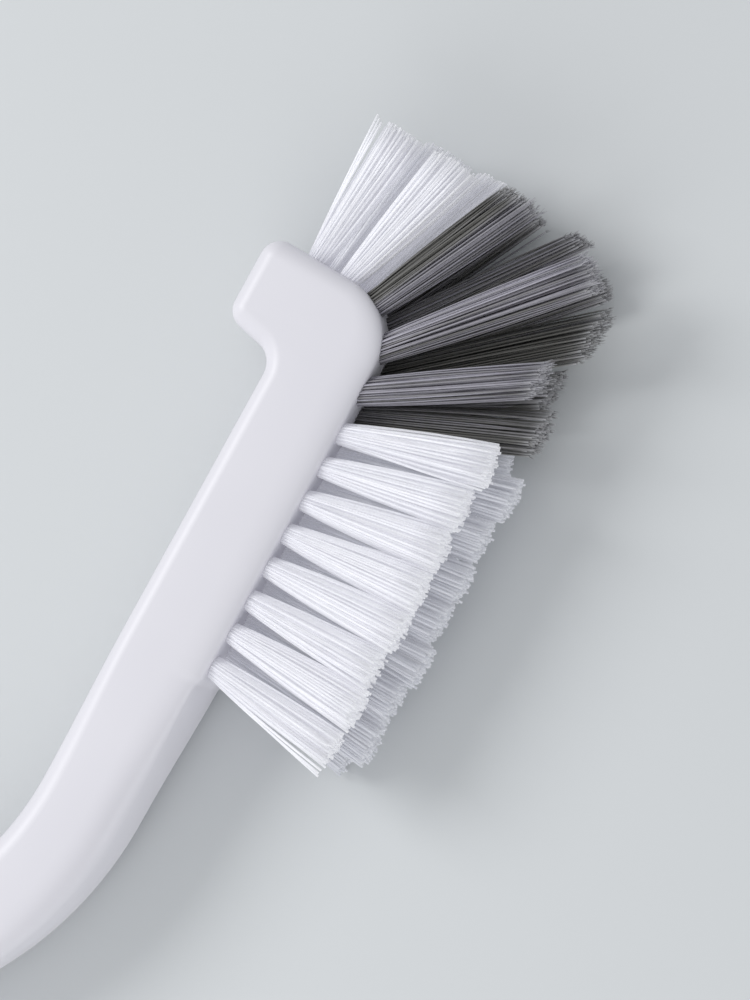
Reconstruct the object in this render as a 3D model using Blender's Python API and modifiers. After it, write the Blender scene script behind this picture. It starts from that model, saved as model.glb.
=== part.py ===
"""A sink brush, lying on its left side: +X runs from the handle to the nose, +Y from the bristles to the hook.

One moulded body carries everything. Its nose is rounded below and rises into a square hook above.
Tufts of doubled filament stand in blind holes, in three rows that run along the underside, round the
nose and up the front face. A flat metal anchor, driven into each hole, holds its tuft by the fold.
"""

import math

import bmesh
import bpy
from mathutils import Matrix, Vector

MM = 0.001

# The head, from its front face back to the end of the tufted face
HEAD_LENGTH = 67.4 * MM
HEAD_WIDTH = 18.0 * MM
HEAD_DEPTH = 15.8 * MM
HEAD_BACK_EDGE = 3.0 * MM
HEAD_FACE_EDGE = 2.0 * MM
HEAD_FACE_DROP = 5.0 * MM
NOSE_RADIUS = 10.5 * MM
NOSE_RAKE = 1.7 * MM

# The hook on the head's back, for lifting a strainer out of a sink
HOOK_RISE = 10.1 * MM
HOOK_LENGTH = 15.2 * MM
HOOK_DRAFT = 2.4 * MM
HOOK_CORNER = 3.4 * MM
HOOK_NOTCH = 4.0 * MM

# The neck, whose underside steps up from the tufted face, and the grip, measured along the back
HEEL_RAMP = 2.2 * MM
NECK_LENGTH = 26.4 * MM
NECK_WIDTH = 17.0 * MM
NECK_DEPTH = 15.1 * MM
NECK_BACK_EDGE = 3.8 * MM
NECK_FACE_EDGE = 4.4 * MM
NECK_FACE_DROP = 5.2 * MM
BEND_RADIUS = 50.0 * MM
BEND_ANGLE = math.radians(29.0)
GRIP_LENGTH = 116.0 * MM
GRIP_RETURN = math.radians(19.0)
GRIP_WIDTH = 20.0 * MM
GRIP_DEPTH = 14.0 * MM
GRIP_END_DEPTH = 11.5 * MM
GRIP_EDGE = 4.8 * MM
TIP_DEPTH = 8.0 * MM
TIP_EDGE = 2.4 * MM

# The slot that hangs the brush up
HANG_WIDTH = 7.0 * MM
HANG_LENGTH = 13.0 * MM
HANG_WALL = 6.0 * MM
HANG_LIP = 0.8 * MM

# The rows of tufts: margins from the heel, from the start of the nose's curve and from the hook's corner
HEEL_MARGIN = 2.1 * MM
NOSE_MARGIN = 11.7 * MM
FRONT_MARGIN = 8.6 * MM
FRONT_PITCH = 6.1 * MM
ROW_SPACING = 5.2 * MM
ROW_SPLAY = 1.1 * MM
UNDER_TUFTS = 8
NOSE_TUFTS = 3
FRONT_TUFTS = 2

# How far each tuft leans forward from straight down, from the heel to the hook
OUTER_DEGREES = (-4.5, -2, 0, 2.5, 5, 8, 11, 15.5, 31, 46.5, 63, 75, 86.5)
MIDDLE_DEGREES = (-3.5, -1, 1.5, 4, 6.5, 9.5, 13, 22, 38.5, 53, 69.5, 80)

# One tuft and its hole
HOLE_DIAMETER = 3.6 * MM
HOLE_DEPTH = 5.6 * MM
FIT_GAP = 0.3 * MM
ROOT_RECESS = 0.8 * MM
STRANDS = 12
STRAND_WIDTH = 0.45 * MM
STRAND_LAP = 0.4 * MM
TIP_LAP = 0.9 * MM

# The face that the middle row is trimmed to, raked back at the front
TRIM_UNDER = 28.0 * MM
TRIM_FRONT = 24.6 * MM
TRIM_RAKE = math.radians(4.0)
TRIM_CORNER = 10.0 * MM

# How much shorter the outer rows are under the head, and over which leans that eases to none
ROW_TRIM = 3.2 * MM
ROW_TRIM_FIRST = 31
ROW_TRIM_LAST = 63

# The fold at the foot of each tuft, and the anchor across it
FOLD_DIAMETER = 1.9 * MM
FOLD_HEIGHT = 1.5 * MM
FOLD_LAP = 0.6 * MM
ANCHOR_THICKNESS = 0.4 * MM
ANCHOR_WIDTH = 2.5 * MM
ANCHOR_RISE = 0.5 * MM
ANCHOR_LAP = 0.3 * MM

# How finely round shapes are divided
EDGE_STEPS = 4
CORNER_STEPS = 4
RAMP_STEPS = 3
GRIP_STEPS = 24
END_STEPS = 6
HOLE_SIDES = 12
FOLD_SIDES = 6
STRAND_SIDES = 3
CUT_OVERRUN = 2.0 * MM
MERGE_DISTANCE = 0.01 * MM
RAY_SHARE = 0.001
SMOOTH_ANGLE = math.radians(38.0)
GOLDEN_ANGLE = math.pi * (3.0 - math.sqrt(5.0))

BODY_WHITE = (0.83, 0.83, 0.84)
BRISTLE_WHITE = (0.86, 0.87, 0.9)
BRISTLE_GREY = (0.19, 0.185, 0.185)


def clear_scene():
    for obj in list(bpy.data.objects):
        bpy.data.objects.remove(obj)


def make_collection(name):
    collection = bpy.data.collections.new(name)
    bpy.context.scene.collection.children.link(collection)
    return collection


def make_material(name, colour, roughness):
    material = bpy.data.materials.new(name)
    material.use_nodes = True
    shader = material.node_tree.nodes["Principled BSDF"]
    shader.inputs["Base Color"].default_value = (*colour, 1.0)
    shader.inputs["Roughness"].default_value = roughness
    shader.inputs["Metallic"].default_value = 0.0
    return material


def make_object(name, bm, collection, material=None):
    """Turns a bmesh into a linked object."""
    bmesh.ops.recalc_face_normals(bm, faces=bm.faces)
    mesh = bpy.data.meshes.new(name)
    bm.to_mesh(mesh)
    bm.free()
    obj = bpy.data.objects.new(name, mesh)
    if material is not None:
        mesh.materials.append(material)
    collection.objects.link(obj)
    return obj


def make_cutter(name, bm, collection):
    cutter = make_object(name, bm, collection)
    cutter.hide_render = True
    cutter.display_type = "WIRE"
    return cutter


def add_boolean(obj, operand, operation):
    modifier = obj.modifiers.new(operand.name, "BOOLEAN")
    modifier.operation = operation
    modifier.solver = "EXACT"
    modifier.object = operand


def add_cylinder(bm, diameter, bottom, top, sides, frame):
    """A cylinder along the frame's +Z, between two heights."""
    middle = Matrix.Translation((0.0, 0.0, (bottom + top) / 2.0))
    bmesh.ops.create_cone(
        bm,
        cap_ends=True,
        segments=sides,
        radius1=diameter / 2.0,
        radius2=diameter / 2.0,
        depth=top - bottom,
        matrix=frame @ middle,
    )


def add_box(bm, size, centre, frame):
    scale = Matrix.Diagonal((*size, 1.0))
    bmesh.ops.create_cube(bm, size=1.0, matrix=frame @ Matrix.Translation(centre) @ scale)


def blend(value, start, end, first, last):
    """Eases from first to last as value goes from start to end."""
    share = min(max((value - start) / (end - start), 0.0), 1.0)
    eased = share * share * (3.0 - 2.0 * share)
    return first + (last - first) * eased


# The side view of the head


def nose_corner():
    """Where the underside and the front face would meet."""
    return Vector((-NOSE_RAKE, 0.0))


def hook_front_corner():
    return Vector((0.0, HEAD_DEPTH + HOOK_RISE))


def front_slope():
    """How far the front face is turned from the underside."""
    rise = hook_front_corner() - nose_corner()
    return math.atan2(rise.y, rise.x)


def nose_reach():
    """How far the nose's arc starts before the corner that it rounds."""
    return NOSE_RADIUS * math.tan(front_slope() / 2.0)


def flat_run():
    """Along the tufted face from the rearmost outer hole to the start of the nose's curve."""
    return HEAD_LENGTH - HEEL_MARGIN - NOSE_RAKE - nose_reach()


def curved_run():
    return NOSE_RADIUS * front_slope()


def whole_run():
    """Along the tufted face from the rearmost outer hole to the topmost one."""
    front = (hook_front_corner() - nose_corner()).length - nose_reach()
    return flat_run() + curved_run() + front - FRONT_MARGIN


def tufted_face(distance):
    """The point on the tufted face at a distance forward of the rearmost outer hole."""
    start = Vector((nose_corner().x - nose_reach(), 0.0))
    if distance <= flat_run():
        return start - Vector((flat_run() - distance, 0.0))
    if distance <= flat_run() + curved_run():
        angle = (distance - flat_run()) / NOSE_RADIUS
        swing = Vector((math.sin(angle), 1.0 - math.cos(angle)))
        return start + swing * NOSE_RADIUS
    rise = Vector((math.cos(front_slope()), math.sin(front_slope())))
    return nose_corner() + rise * (nose_reach() + distance - flat_run() - curved_run())


def round_corner(before, corner, after, radius):
    """Points and outward normals along an arc that rounds a corner of the outline, going clockwise."""
    incoming = (corner - before).normalized()
    outgoing = (after - corner).normalized()
    turn = incoming.angle_signed(outgoing)
    start = corner - incoming * (radius * math.tan(abs(turn) / 2.0))
    side = math.copysign(1.0, turn)
    spoke = Vector((-incoming.y, incoming.x)) * side
    centre = start - spoke * radius
    arc = []
    for step in range(CORNER_STEPS + 1):
        turned = spoke.copy()
        turned.rotate(Matrix.Rotation(-turn * step / CORNER_STEPS, 2))
        arc.append((centre + turned * radius, turned * side))
    return arc


def nose_arc():
    """The nose from its underside to its front: points, outward normals and the edge's drop."""
    start = Vector((nose_corner().x - nose_reach(), NOSE_RADIUS))
    steps = 2 * CORNER_STEPS + 1
    arc = []
    for step in range(steps + 1):
        angle = front_slope() * step / steps
        normal = Vector((math.sin(angle), -math.cos(angle)))
        drop = blend(step, 0, steps, HEAD_FACE_DROP, HEAD_BACK_EDGE)
        arc.append((start + normal * NOSE_RADIUS, normal, drop))
    return arc


def head_stations():
    """Stations from the heel to the front: a back point and normal, and a face point like the nose's."""
    heel = Vector((-HEAD_LENGTH, HEAD_DEPTH))
    notch = Vector((-HOOK_LENGTH - HOOK_DRAFT, HEAD_DEPTH))
    hook_rear = Vector((-HOOK_LENGTH, HEAD_DEPTH + HOOK_RISE))
    hook_front = hook_front_corner()
    notch_arc = round_corner(heel, notch, hook_rear, HOOK_NOTCH)
    rear_arc = round_corner(notch, hook_rear, hook_front, HOOK_CORNER)
    front_arc = round_corner(hook_rear, hook_front, nose_corner(), HOOK_CORNER)
    down = Vector((0.0, -1.0))
    below_notch = [(Vector((point.x, 0.0)), down, HEAD_FACE_DROP) for point, _ in notch_arc]
    return list(zip(notch_arc + rear_arc + front_arc, below_notch + nose_arc()))


# The handle's path and its sizes along it


def grip_start():
    return NECK_LENGTH + BEND_RADIUS * BEND_ANGLE


def handle_length():
    return grip_start() + GRIP_LENGTH


def back_line(distance):
    """The handle's back at a distance behind the head: a point and its outward normal."""
    grip_radius = GRIP_LENGTH / GRIP_RETURN
    point = Vector((-HEAD_LENGTH - min(distance, NECK_LENGTH), HEAD_DEPTH))
    bend = min(max(distance - NECK_LENGTH, 0.0) / BEND_RADIUS, BEND_ANGLE)
    point += BEND_RADIUS * Vector((-math.sin(bend), 1.0 - math.cos(bend)))
    heading = bend - max(distance - grip_start(), 0.0) / grip_radius
    swing = Vector((math.sin(heading) - math.sin(bend), math.cos(heading) - math.cos(bend)))
    return point + grip_radius * swing, Vector((math.sin(heading), math.cos(heading)))


def handle_depth(distance):
    middle = grip_start() + GRIP_LENGTH / 2.0
    depth = blend(distance, 0.0, HEEL_RAMP, HEAD_DEPTH, NECK_DEPTH)
    depth = blend(distance, NECK_LENGTH, middle, depth, GRIP_DEPTH)
    return blend(distance, middle, handle_length(), depth, GRIP_END_DEPTH)


def handle_width(distance):
    width = blend(distance, 0.0, NECK_LENGTH, HEAD_WIDTH, NECK_WIDTH)
    return blend(distance, grip_start(), handle_length() - GRIP_WIDTH, width, GRIP_WIDTH)


def handle_edges(distance):
    """How far the roundings of the back and the underside reach across, and the latter's drop."""
    back = blend(distance, 0.0, NECK_LENGTH, HEAD_BACK_EDGE, NECK_BACK_EDGE)
    face = blend(distance, 0.0, NECK_LENGTH, HEAD_FACE_EDGE, NECK_FACE_EDGE)
    drop = blend(distance, 0.0, NECK_LENGTH, HEAD_FACE_DROP, NECK_FACE_DROP)
    grip = (grip_start(), handle_length() - GRIP_WIDTH)
    return [blend(distance, *grip, size, GRIP_EDGE) for size in (back, face, drop)]


def handle_distances():
    """Distance behind the head of each station before the grip's round end, rear to front."""
    last = handle_length() - GRIP_WIDTH / 2.0
    along = [last + (HEEL_RAMP - last) * step / GRIP_STEPS for step in range(GRIP_STEPS)]
    ramp = [HEEL_RAMP * (1.0 - step / RAMP_STEPS) for step in range(RAMP_STEPS + 1)]
    return along + ramp


# The moulded body


def section_points(point, normal, half_width, edge, drop):
    """One edge of the body, from the mid plane out to the side: a flat run, then a rounding."""
    points = [Vector((point.x, point.y, 0.0))]
    for step in range(EDGE_STEPS + 1):
        angle = math.pi / 2.0 * step / EDGE_STEPS
        inset = point - normal * (drop * (1.0 - math.cos(angle)))
        points.append(Vector((inset.x, inset.y, half_width - edge + edge * math.sin(angle))))
    return points


def section_ring(back, back_normal, face, face_normal, half_width, edges):
    """Half of a cross section, from the back's mid line over the side to the face's mid line."""
    back_edge, face_edge, face_drop = edges
    upper = section_points(back, back_normal, half_width, back_edge, back_edge)
    lower = section_points(face, face_normal, half_width, face_edge, face_drop)
    return upper + lower[::-1]


def handle_ring(distance, half_width, fullness):
    """A cross section of the handle; fullness falls from 1 to 0 round the end of the grip."""
    point, normal = back_line(distance)
    depth = handle_depth(distance)
    thinned = blend(fullness, 0.0, 1.0, TIP_DEPTH, depth)
    edges = [blend(fullness, 0.0, 1.0, TIP_EDGE, size) for size in handle_edges(distance)]
    edges = [min(size, half_width) for size in edges]
    back = point - normal * ((depth - thinned) / 2.0)
    face = back - normal * thinned
    return section_ring(back, normal, face, -normal, half_width, edges)


def body_rings():
    """Cross sections from the end of the grip to the front face."""
    rings = []
    end_radius = GRIP_WIDTH / 2.0
    for step in range(1, END_STEPS + 1):
        angle = math.pi / 2.0 * step / (END_STEPS + 1)
        distance = handle_length() - end_radius * (1.0 - math.cos(angle))
        rings.append(handle_ring(distance, end_radius * math.sin(angle), math.sin(angle)))
    for distance in handle_distances():
        rings.append(handle_ring(distance, handle_width(distance) / 2.0, 1.0))
    for (back, back_normal), (face, face_normal, drop) in head_stations():
        edges = (HEAD_BACK_EDGE, HEAD_FACE_EDGE, drop)
        ring = section_ring(back, back_normal, face, face_normal, HEAD_WIDTH / 2.0, edges)
        rings.append(ring)
    return rings


def loft_body():
    """Half of the body, open at the mid plane: faces across the rings, closed at both ends."""
    bm = bmesh.new()
    rings = [[bm.verts.new(point) for point in ring] for ring in body_rings()]
    for first, second in zip(rings, rings[1:]):
        for index in range(len(first) - 1):
            bm.faces.new((first[index], first[index + 1], second[index + 1], second[index]))
    for ring in (rings[0], rings[-1]):
        for index in range(len(ring) // 2 - 1):
            mate = len(ring) - 1 - index
            bm.faces.new((ring[index], ring[index + 1], ring[mate - 1], ring[mate]))
    return bm


def hole_cutter(cutters):
    """Every tuft hole as one set of cylinders."""
    bm = bmesh.new()
    for _, frame, _, _ in tuft_list():
        add_cylinder(bm, HOLE_DIAMETER, -HOLE_DEPTH, CUT_OVERRUN, HOLE_SIDES, frame)
    return make_cutter("hole_cutter", bm, cutters)


def hang_frame():
    """The hanging slot's axes: +Z through the grip, +X along it."""
    point, normal = back_line(handle_length() - HANG_WALL - HANG_LENGTH / 2.0)
    through = normal.to_3d()
    along = Vector((normal.y, -normal.x, 0.0))
    turn = Matrix((along, through.cross(along), through)).transposed()
    place = point - normal * (GRIP_END_DEPTH / 2.0)
    return Matrix.LocRotScale(place.to_3d(), turn.to_quaternion(), None)


def hang_cutter(cutters):
    """A round-ended slot whose mouths open out in a small flare."""
    half_run = (HANG_LENGTH - HANG_WIDTH) / 2.0
    half_depth = GRIP_END_DEPTH / 2.0
    reach = half_depth + CUT_OVERRUN
    outline = []
    for side in (1.0, -1.0):
        for step in range(HOLE_SIDES + 1):
            angle = math.pi * (step / HOLE_SIDES - side / 2.0)
            outline.append((side * half_run, angle))
    levels = (
        (-reach, HANG_LIP + CUT_OVERRUN),
        (-half_depth + HANG_LIP, 0.0),
        (half_depth - HANG_LIP, 0.0),
        (reach, HANG_LIP + CUT_OVERRUN),
    )
    bm = bmesh.new()
    loops = []
    for height, grow in levels:
        radius = HANG_WIDTH / 2.0 + grow
        loop = []
        for shift, angle in outline:
            place = (shift + radius * math.cos(angle), radius * math.sin(angle), height)
            loop.append(bm.verts.new(place))
        loops.append(loop)
    for lower, upper in zip(loops, loops[1:]):
        for index in range(len(lower)):
            after = (index + 1) % len(lower)
            bm.faces.new((lower[index], lower[after], upper[after], upper[index]))
    bm.faces.new(loops[0])
    bm.faces.new(loops[-1])
    bm.transform(hang_frame())
    return make_cutter("hang_cutter", bm, cutters)


def make_body(parts, cutters, material):
    body = make_object("brush_body", loft_body(), parts, material)
    mirror = body.modifiers.new("Mirror", "MIRROR")
    mirror.use_axis = (False, False, True)
    mirror.merge_threshold = MERGE_DISTANCE
    add_boolean(body, hole_cutter(cutters), "DIFFERENCE")
    add_boolean(body, hang_cutter(cutters), "DIFFERENCE")
    body.data.shade_smooth()
    body.data.set_sharp_from_angle(angle=SMOOTH_ANGLE)


# The tufts


def under_pitch():
    return (flat_run() - NOSE_MARGIN) / (UNDER_TUFTS - 1)


def nose_pitch():
    """The nose's tufts share what the underside's and the front's leave of the face."""
    room = whole_run() - under_pitch() * (UNDER_TUFTS - 1) - FRONT_PITCH * FRONT_TUFTS
    return room / NOSE_TUFTS


def outer_places():
    """Distances of the outer rows' holes along the tufted face."""
    pitches = [under_pitch()] * (UNDER_TUFTS - 1)
    pitches += [nose_pitch()] * NOSE_TUFTS
    pitches += [FRONT_PITCH] * FRONT_TUFTS
    places = [0.0]
    for pitch in pitches:
        places.append(places[-1] + pitch)
    return places


def middle_places():
    """The middle row's holes lie halfway between the outer rows' holes."""
    outer = outer_places()
    return [(first + second) / 2.0 for first, second in zip(outer, outer[1:])]


def zone_names(under_tufts):
    """Names of a row's tufts from the heel to the hook."""
    names = [f"underside_{number + 1}" for number in range(under_tufts)]
    names += [f"nose_{number + 1}" for number in range(NOSE_TUFTS)]
    names += [f"front_{number + 1}" for number in range(FRONT_TUFTS)]
    return names


def tuft_frame(place, lean, side):
    """A tuft's own axes at its hole's mouth: +Z along the tuft, +X forward, +Y across the rows."""
    mouth = tufted_face(place).to_3d()
    mouth.z = side * ROW_SPACING
    axis = Vector((math.sin(lean), -math.cos(lean), side * ROW_SPLAY / TRIM_UNDER)).normalized()
    forward = Vector((math.cos(lean), math.sin(lean), 0.0))
    turn = Matrix((forward, axis.cross(forward), axis)).transposed()
    return Matrix.LocRotScale(mouth, turn.to_quaternion(), None)


def tuft_list():
    """Name, axes, trim inset and colour zone of each tuft, row by row."""
    outer = (zone_names(UNDER_TUFTS), outer_places(), OUTER_DEGREES)
    middle = (zone_names(UNDER_TUFTS - 1), middle_places(), MIDDLE_DEGREES)
    tufts = []
    for row, side, lists in (("right", 1.0, outer), ("middle", 0.0, middle), ("left", -1.0, outer)):
        for name, place, degrees in zip(*lists):
            frame = tuft_frame(place, math.radians(degrees), side)
            inset = abs(side) * blend(degrees, ROW_TRIM_FIRST, ROW_TRIM_LAST, ROW_TRIM, 0.0)
            tufts.append((f"tuft_{row}_{name}", frame, inset, name.split("_")[0]))
    return tufts


def trimmed_length(start, direction, inset):
    """How far a strand runs from its start to the trim face, drawn in by the inset."""
    under = TRIM_UNDER - inset
    top = Vector((TRIM_FRONT - inset, HEAD_DEPTH))
    corner = TRIM_CORNER - inset
    facing = Vector((math.cos(TRIM_RAKE), -math.sin(TRIM_RAKE)))
    point = start.xy
    ray = direction.xy.normalized()
    to_under = (under + point.y) / max(-ray.y, RAY_SHARE)
    to_front = facing.dot(top - point) / max(facing.dot(ray), RAY_SHARE)
    reach = min(to_under, to_front)
    end = point + ray * reach
    height = corner - under
    centre = Vector((top.x - (corner - (top.y - height) * facing.y) / facing.x, height))
    past = end - centre
    if past.x > 0.0 and past.y * facing.x < past.x * facing.y:
        offset = point - centre
        along = offset.dot(ray)
        reach = math.sqrt(along**2 - offset.length_squared + corner**2) - along
    return reach / direction.xy.length


def tip_spread():
    """How wide a tuft fans out at its tips before it meets the tufts beside it."""
    in_row = under_pitch() + TIP_LAP
    across = math.hypot(ROW_SPACING + ROW_SPLAY, under_pitch() / 2.0)
    return min(in_row, across) - STRAND_WIDTH


def strand_shares():
    """Strand places as shares of a tuft's radius, laid out as seeds in a sunflower."""
    places = []
    for index in range(STRANDS):
        radius = math.sqrt((index + 0.5) / STRANDS)
        angle = index * GOLDEN_ANGLE
        places.append(Vector((radius * math.cos(angle), radius * math.sin(angle), 0.0)))
    return places


def make_strands(name, frame, inset, cutters):
    """The tuft's strands, each from its root out to the trim face."""
    bm = bmesh.new()
    root_radius = HOLE_DIAMETER / 2.0 - FIT_GAP - STRAND_WIDTH / 2.0
    root_height = Vector((0.0, 0.0, -ROOT_RECESS - STRAND_LAP))
    length = trimmed_length(frame.translation, frame.to_3x3().col[2], inset)
    tip_height = Vector((0.0, 0.0, length))
    for share in strand_shares():
        root = frame @ (share * root_radius + root_height)
        tip = frame @ (share * (tip_spread() / 2.0) + tip_height)
        direction = (tip - root).normalized()
        along = Matrix.LocRotScale(root, direction.to_track_quat("Z", "Y"), None)
        reach = trimmed_length(root, direction, inset)
        add_cylinder(bm, STRAND_WIDTH, 0.0, reach, STRAND_SIDES, along)
    return make_cutter(f"{name}_strands", bm, cutters)


def make_fold(name, frame, cutters):
    """The narrow fold at the foot of the hole, with the anchor's ends standing out across it."""
    bm = bmesh.new()
    foot = -HOLE_DEPTH + FIT_GAP
    add_cylinder(bm, FOLD_DIAMETER, foot, foot + FOLD_HEIGHT + FOLD_LAP, FOLD_SIDES, frame)
    fold = make_cutter(f"{name}_fold", bm, cutters)
    plate = bmesh.new()
    height = FOLD_HEIGHT - ANCHOR_RISE + ANCHOR_LAP
    centre = Vector((0.0, 0.0, foot + ANCHOR_RISE + height / 2.0))
    size = (ANCHOR_THICKNESS, ANCHOR_WIDTH, height)
    add_box(plate, size, centre, frame)
    add_boolean(fold, make_cutter(f"{name}_anchor", plate, cutters), "UNION")
    return fold


def make_tuft(name, frame, inset, parts, cutters, material):
    """The bundle that fills the hole, its fold with the anchor below, and its strands above."""
    bm = bmesh.new()
    foot = -HOLE_DEPTH + FIT_GAP + FOLD_HEIGHT
    add_cylinder(bm, HOLE_DIAMETER - 2.0 * FIT_GAP, foot, -ROOT_RECESS, HOLE_SIDES, frame)
    tuft = make_object(name, bm, parts, material)
    add_boolean(tuft, make_fold(name, frame, cutters), "UNION")
    add_boolean(tuft, make_strands(name, frame, inset, cutters), "UNION")


def centre_on_floor(parts):
    """Hangs the parts from an empty that puts the middle of their underside at the origin."""
    bpy.context.view_layer.update()
    depsgraph = bpy.context.evaluated_depsgraph_get()
    corners = []
    for obj in parts.objects:
        corners += [Vector(corner) for corner in obj.evaluated_get(depsgraph).bound_box]
    low = Vector([min(corner[axis] for corner in corners) for axis in range(3)])
    high = Vector([max(corner[axis] for corner in corners) for axis in range(3)])
    root = bpy.data.objects.new("brush_root", None)
    root.location = Vector((-(low.x + high.x) / 2.0, -(low.y + high.y) / 2.0, -low.z))
    bpy.context.scene.collection.objects.link(root)
    for obj in bpy.data.objects:
        if obj is not root:
            obj.parent = root


def main():
    clear_scene()
    parts = make_collection("sink_brush")
    cutters = make_collection("cutters")
    white = make_material("bristle_white", BRISTLE_WHITE, 0.5)
    grey = make_material("bristle_grey", BRISTLE_GREY, 0.5)
    make_body(parts, cutters, make_material("body_white", BODY_WHITE, 0.42))
    for name, frame, inset, zone in tuft_list():
        make_tuft(name, frame, inset, parts, cutters, grey if zone == "nose" else white)
    centre_on_floor(parts)


main()
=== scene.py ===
"""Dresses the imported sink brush: a smooth moulded body, tufts of cut filament, and a plain studio."""

import math
import random

import bmesh
import bpy
from mathutils import Matrix, Vector


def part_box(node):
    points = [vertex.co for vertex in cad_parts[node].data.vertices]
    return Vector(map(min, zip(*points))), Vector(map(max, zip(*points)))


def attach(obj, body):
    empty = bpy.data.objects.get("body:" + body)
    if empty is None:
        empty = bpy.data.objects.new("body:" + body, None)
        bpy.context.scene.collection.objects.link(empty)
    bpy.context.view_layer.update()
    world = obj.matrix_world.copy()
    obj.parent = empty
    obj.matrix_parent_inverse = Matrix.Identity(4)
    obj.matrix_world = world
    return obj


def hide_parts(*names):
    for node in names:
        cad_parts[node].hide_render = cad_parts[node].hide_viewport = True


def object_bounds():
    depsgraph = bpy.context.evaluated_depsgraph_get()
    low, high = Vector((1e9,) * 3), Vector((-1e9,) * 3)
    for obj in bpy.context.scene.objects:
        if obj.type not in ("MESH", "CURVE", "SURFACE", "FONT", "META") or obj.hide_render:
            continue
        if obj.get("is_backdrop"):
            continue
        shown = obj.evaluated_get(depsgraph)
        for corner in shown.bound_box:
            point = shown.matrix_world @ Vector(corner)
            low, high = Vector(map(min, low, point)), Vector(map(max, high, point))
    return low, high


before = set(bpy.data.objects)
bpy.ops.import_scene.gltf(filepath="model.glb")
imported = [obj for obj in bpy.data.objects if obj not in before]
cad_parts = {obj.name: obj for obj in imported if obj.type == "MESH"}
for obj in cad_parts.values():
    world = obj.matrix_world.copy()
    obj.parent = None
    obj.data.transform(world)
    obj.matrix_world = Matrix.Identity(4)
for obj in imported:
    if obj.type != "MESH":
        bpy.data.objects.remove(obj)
cad_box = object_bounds()

MM = 0.001
ROW_BODY = "root"

# The head in side view, from its front face (x = 0) and its tufted face (y = 0)
HEAD_LENGTH = 67.4 * MM
HEAD_WIDTH = 18.0 * MM
HEAD_DEPTH = 15.8 * MM
HEAD_BACK_EDGE = 3.0 * MM
HEAD_FACE_EDGE = 2.0 * MM
HEAD_FACE_DROP = 5.0 * MM
NOSE_RADIUS = 10.5 * MM
NOSE_RAKE = 1.7 * MM
HOOK_RISE = 10.1 * MM
HOOK_LENGTH = 15.2 * MM
HOOK_DRAFT = 2.4 * MM
HOOK_CORNER = 3.4 * MM
HOOK_NOTCH = 4.0 * MM

# The neck and the grip, measured along the back
HEEL_RAMP = 2.2 * MM
NECK_LENGTH = 26.4 * MM
NECK_WIDTH = 17.0 * MM
NECK_DEPTH = 15.1 * MM
NECK_BACK_EDGE = 3.8 * MM
NECK_FACE_EDGE = 4.4 * MM
NECK_FACE_DROP = 5.2 * MM
BEND_RADIUS = 50.0 * MM
BEND_ANGLE = math.radians(29.0)
GRIP_LENGTH = 116.0 * MM
GRIP_RETURN = math.radians(19.0)
GRIP_WIDTH = 20.0 * MM
GRIP_DEPTH = 14.0 * MM
GRIP_END_DEPTH = 11.5 * MM
GRIP_EDGE = 4.8 * MM
TIP_DEPTH = 8.0 * MM
TIP_EDGE = 2.4 * MM

# The slot that hangs the brush up
HANG_WIDTH = 7.0 * MM
HANG_LENGTH = 13.0 * MM
HANG_WALL = 6.0 * MM
HANG_LIP = 0.8 * MM

# The three rows of holes, and how many degrees each tuft leans forward, from the heel on
HEEL_MARGIN = 2.1 * MM
NOSE_MARGIN = 11.7 * MM
FRONT_MARGIN = 8.6 * MM
FRONT_PITCH = 6.1 * MM
ROW_SPACING = 5.2 * MM
ROW_SPLAY = 1.1 * MM
UNDER_TUFTS = 8
NOSE_TUFTS = 3
FRONT_TUFTS = 2
OUTER_DEGREES = (-4.5, -2, 0, 2.5, 5, 8, 11, 15.5, 31, 46.5, 63, 75, 86.5)
MIDDLE_DEGREES = (-3.5, -1, 1.5, 4, 6.5, 9.5, 13, 22, 38.5, 53, 69.5, 80)
HOLE_DIAMETER = 3.6 * MM
HOLE_DEPTH = 5.6 * MM

# The face that the tufts are trimmed to, out from the head's underside and its front
TRIM_UNDER = 28.0 * MM
TRIM_FRONT = 24.6 * MM
TRIM_RAKE = math.radians(4.0)
TRIM_CORNER = 10.0 * MM

# How much shorter the outer rows are, and the leans in degrees over which that fades out
ROW_TRIM = 3.2 * MM
ROW_TRIM_FIRST = 31
ROW_TRIM_LAST = 63

# How finely the body's curves are divided, and up to what angle they are shaded smooth
EDGE_STEPS = 8
CORNER_STEPS = 8
RAMP_STEPS = 5
GRIP_STEPS = 90
END_STEPS = 14
HOLE_SIDES = 32
SLOT_SIDES = 64
LIP_STEPS = 4
SMOOTH_ANGLE = math.radians(38.0)

# Allowances for cutting, merging, finding a cap and meeting a face almost edge on
CUT_OVERRUN = 2.0 * MM
MERGE_DISTANCE = 0.01 * MM
CAP_FACING = 0.9
RAY_SHARE = 0.001

# The strands of any tuft, of which a few stray
STRAND_SIDES = 5
STRAND_CUTS = 4
ROOT_DEPTH = 1.6 * MM
TIP_RADIUS = 3.7 * MM
BOW = 0.22 * MM
BELLY = 0.2 * MM
LOOSE_SHARE = 0.06
LOOSE_REACH = 2.4 * MM
GOLDEN_ANGLE = math.pi * (3.0 - math.sqrt(5.0))

# White filament, and how much shorter a tuft of each row may be (longer where negative)
WHITE_STRANDS = 116
WHITE_WIDTH = 0.42 * MM
WHITE_WANDER = 0.3 * MM
WHITE_RAGGED = 0.9 * MM
WHITE_STEPS = {"right": 0.8 * MM, "middle": -1.4 * MM, "left": 0.4 * MM}

# How much of the way the outer rows under the head are cut square to their tufts
SQUARE_SHARE = 0.7

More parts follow.
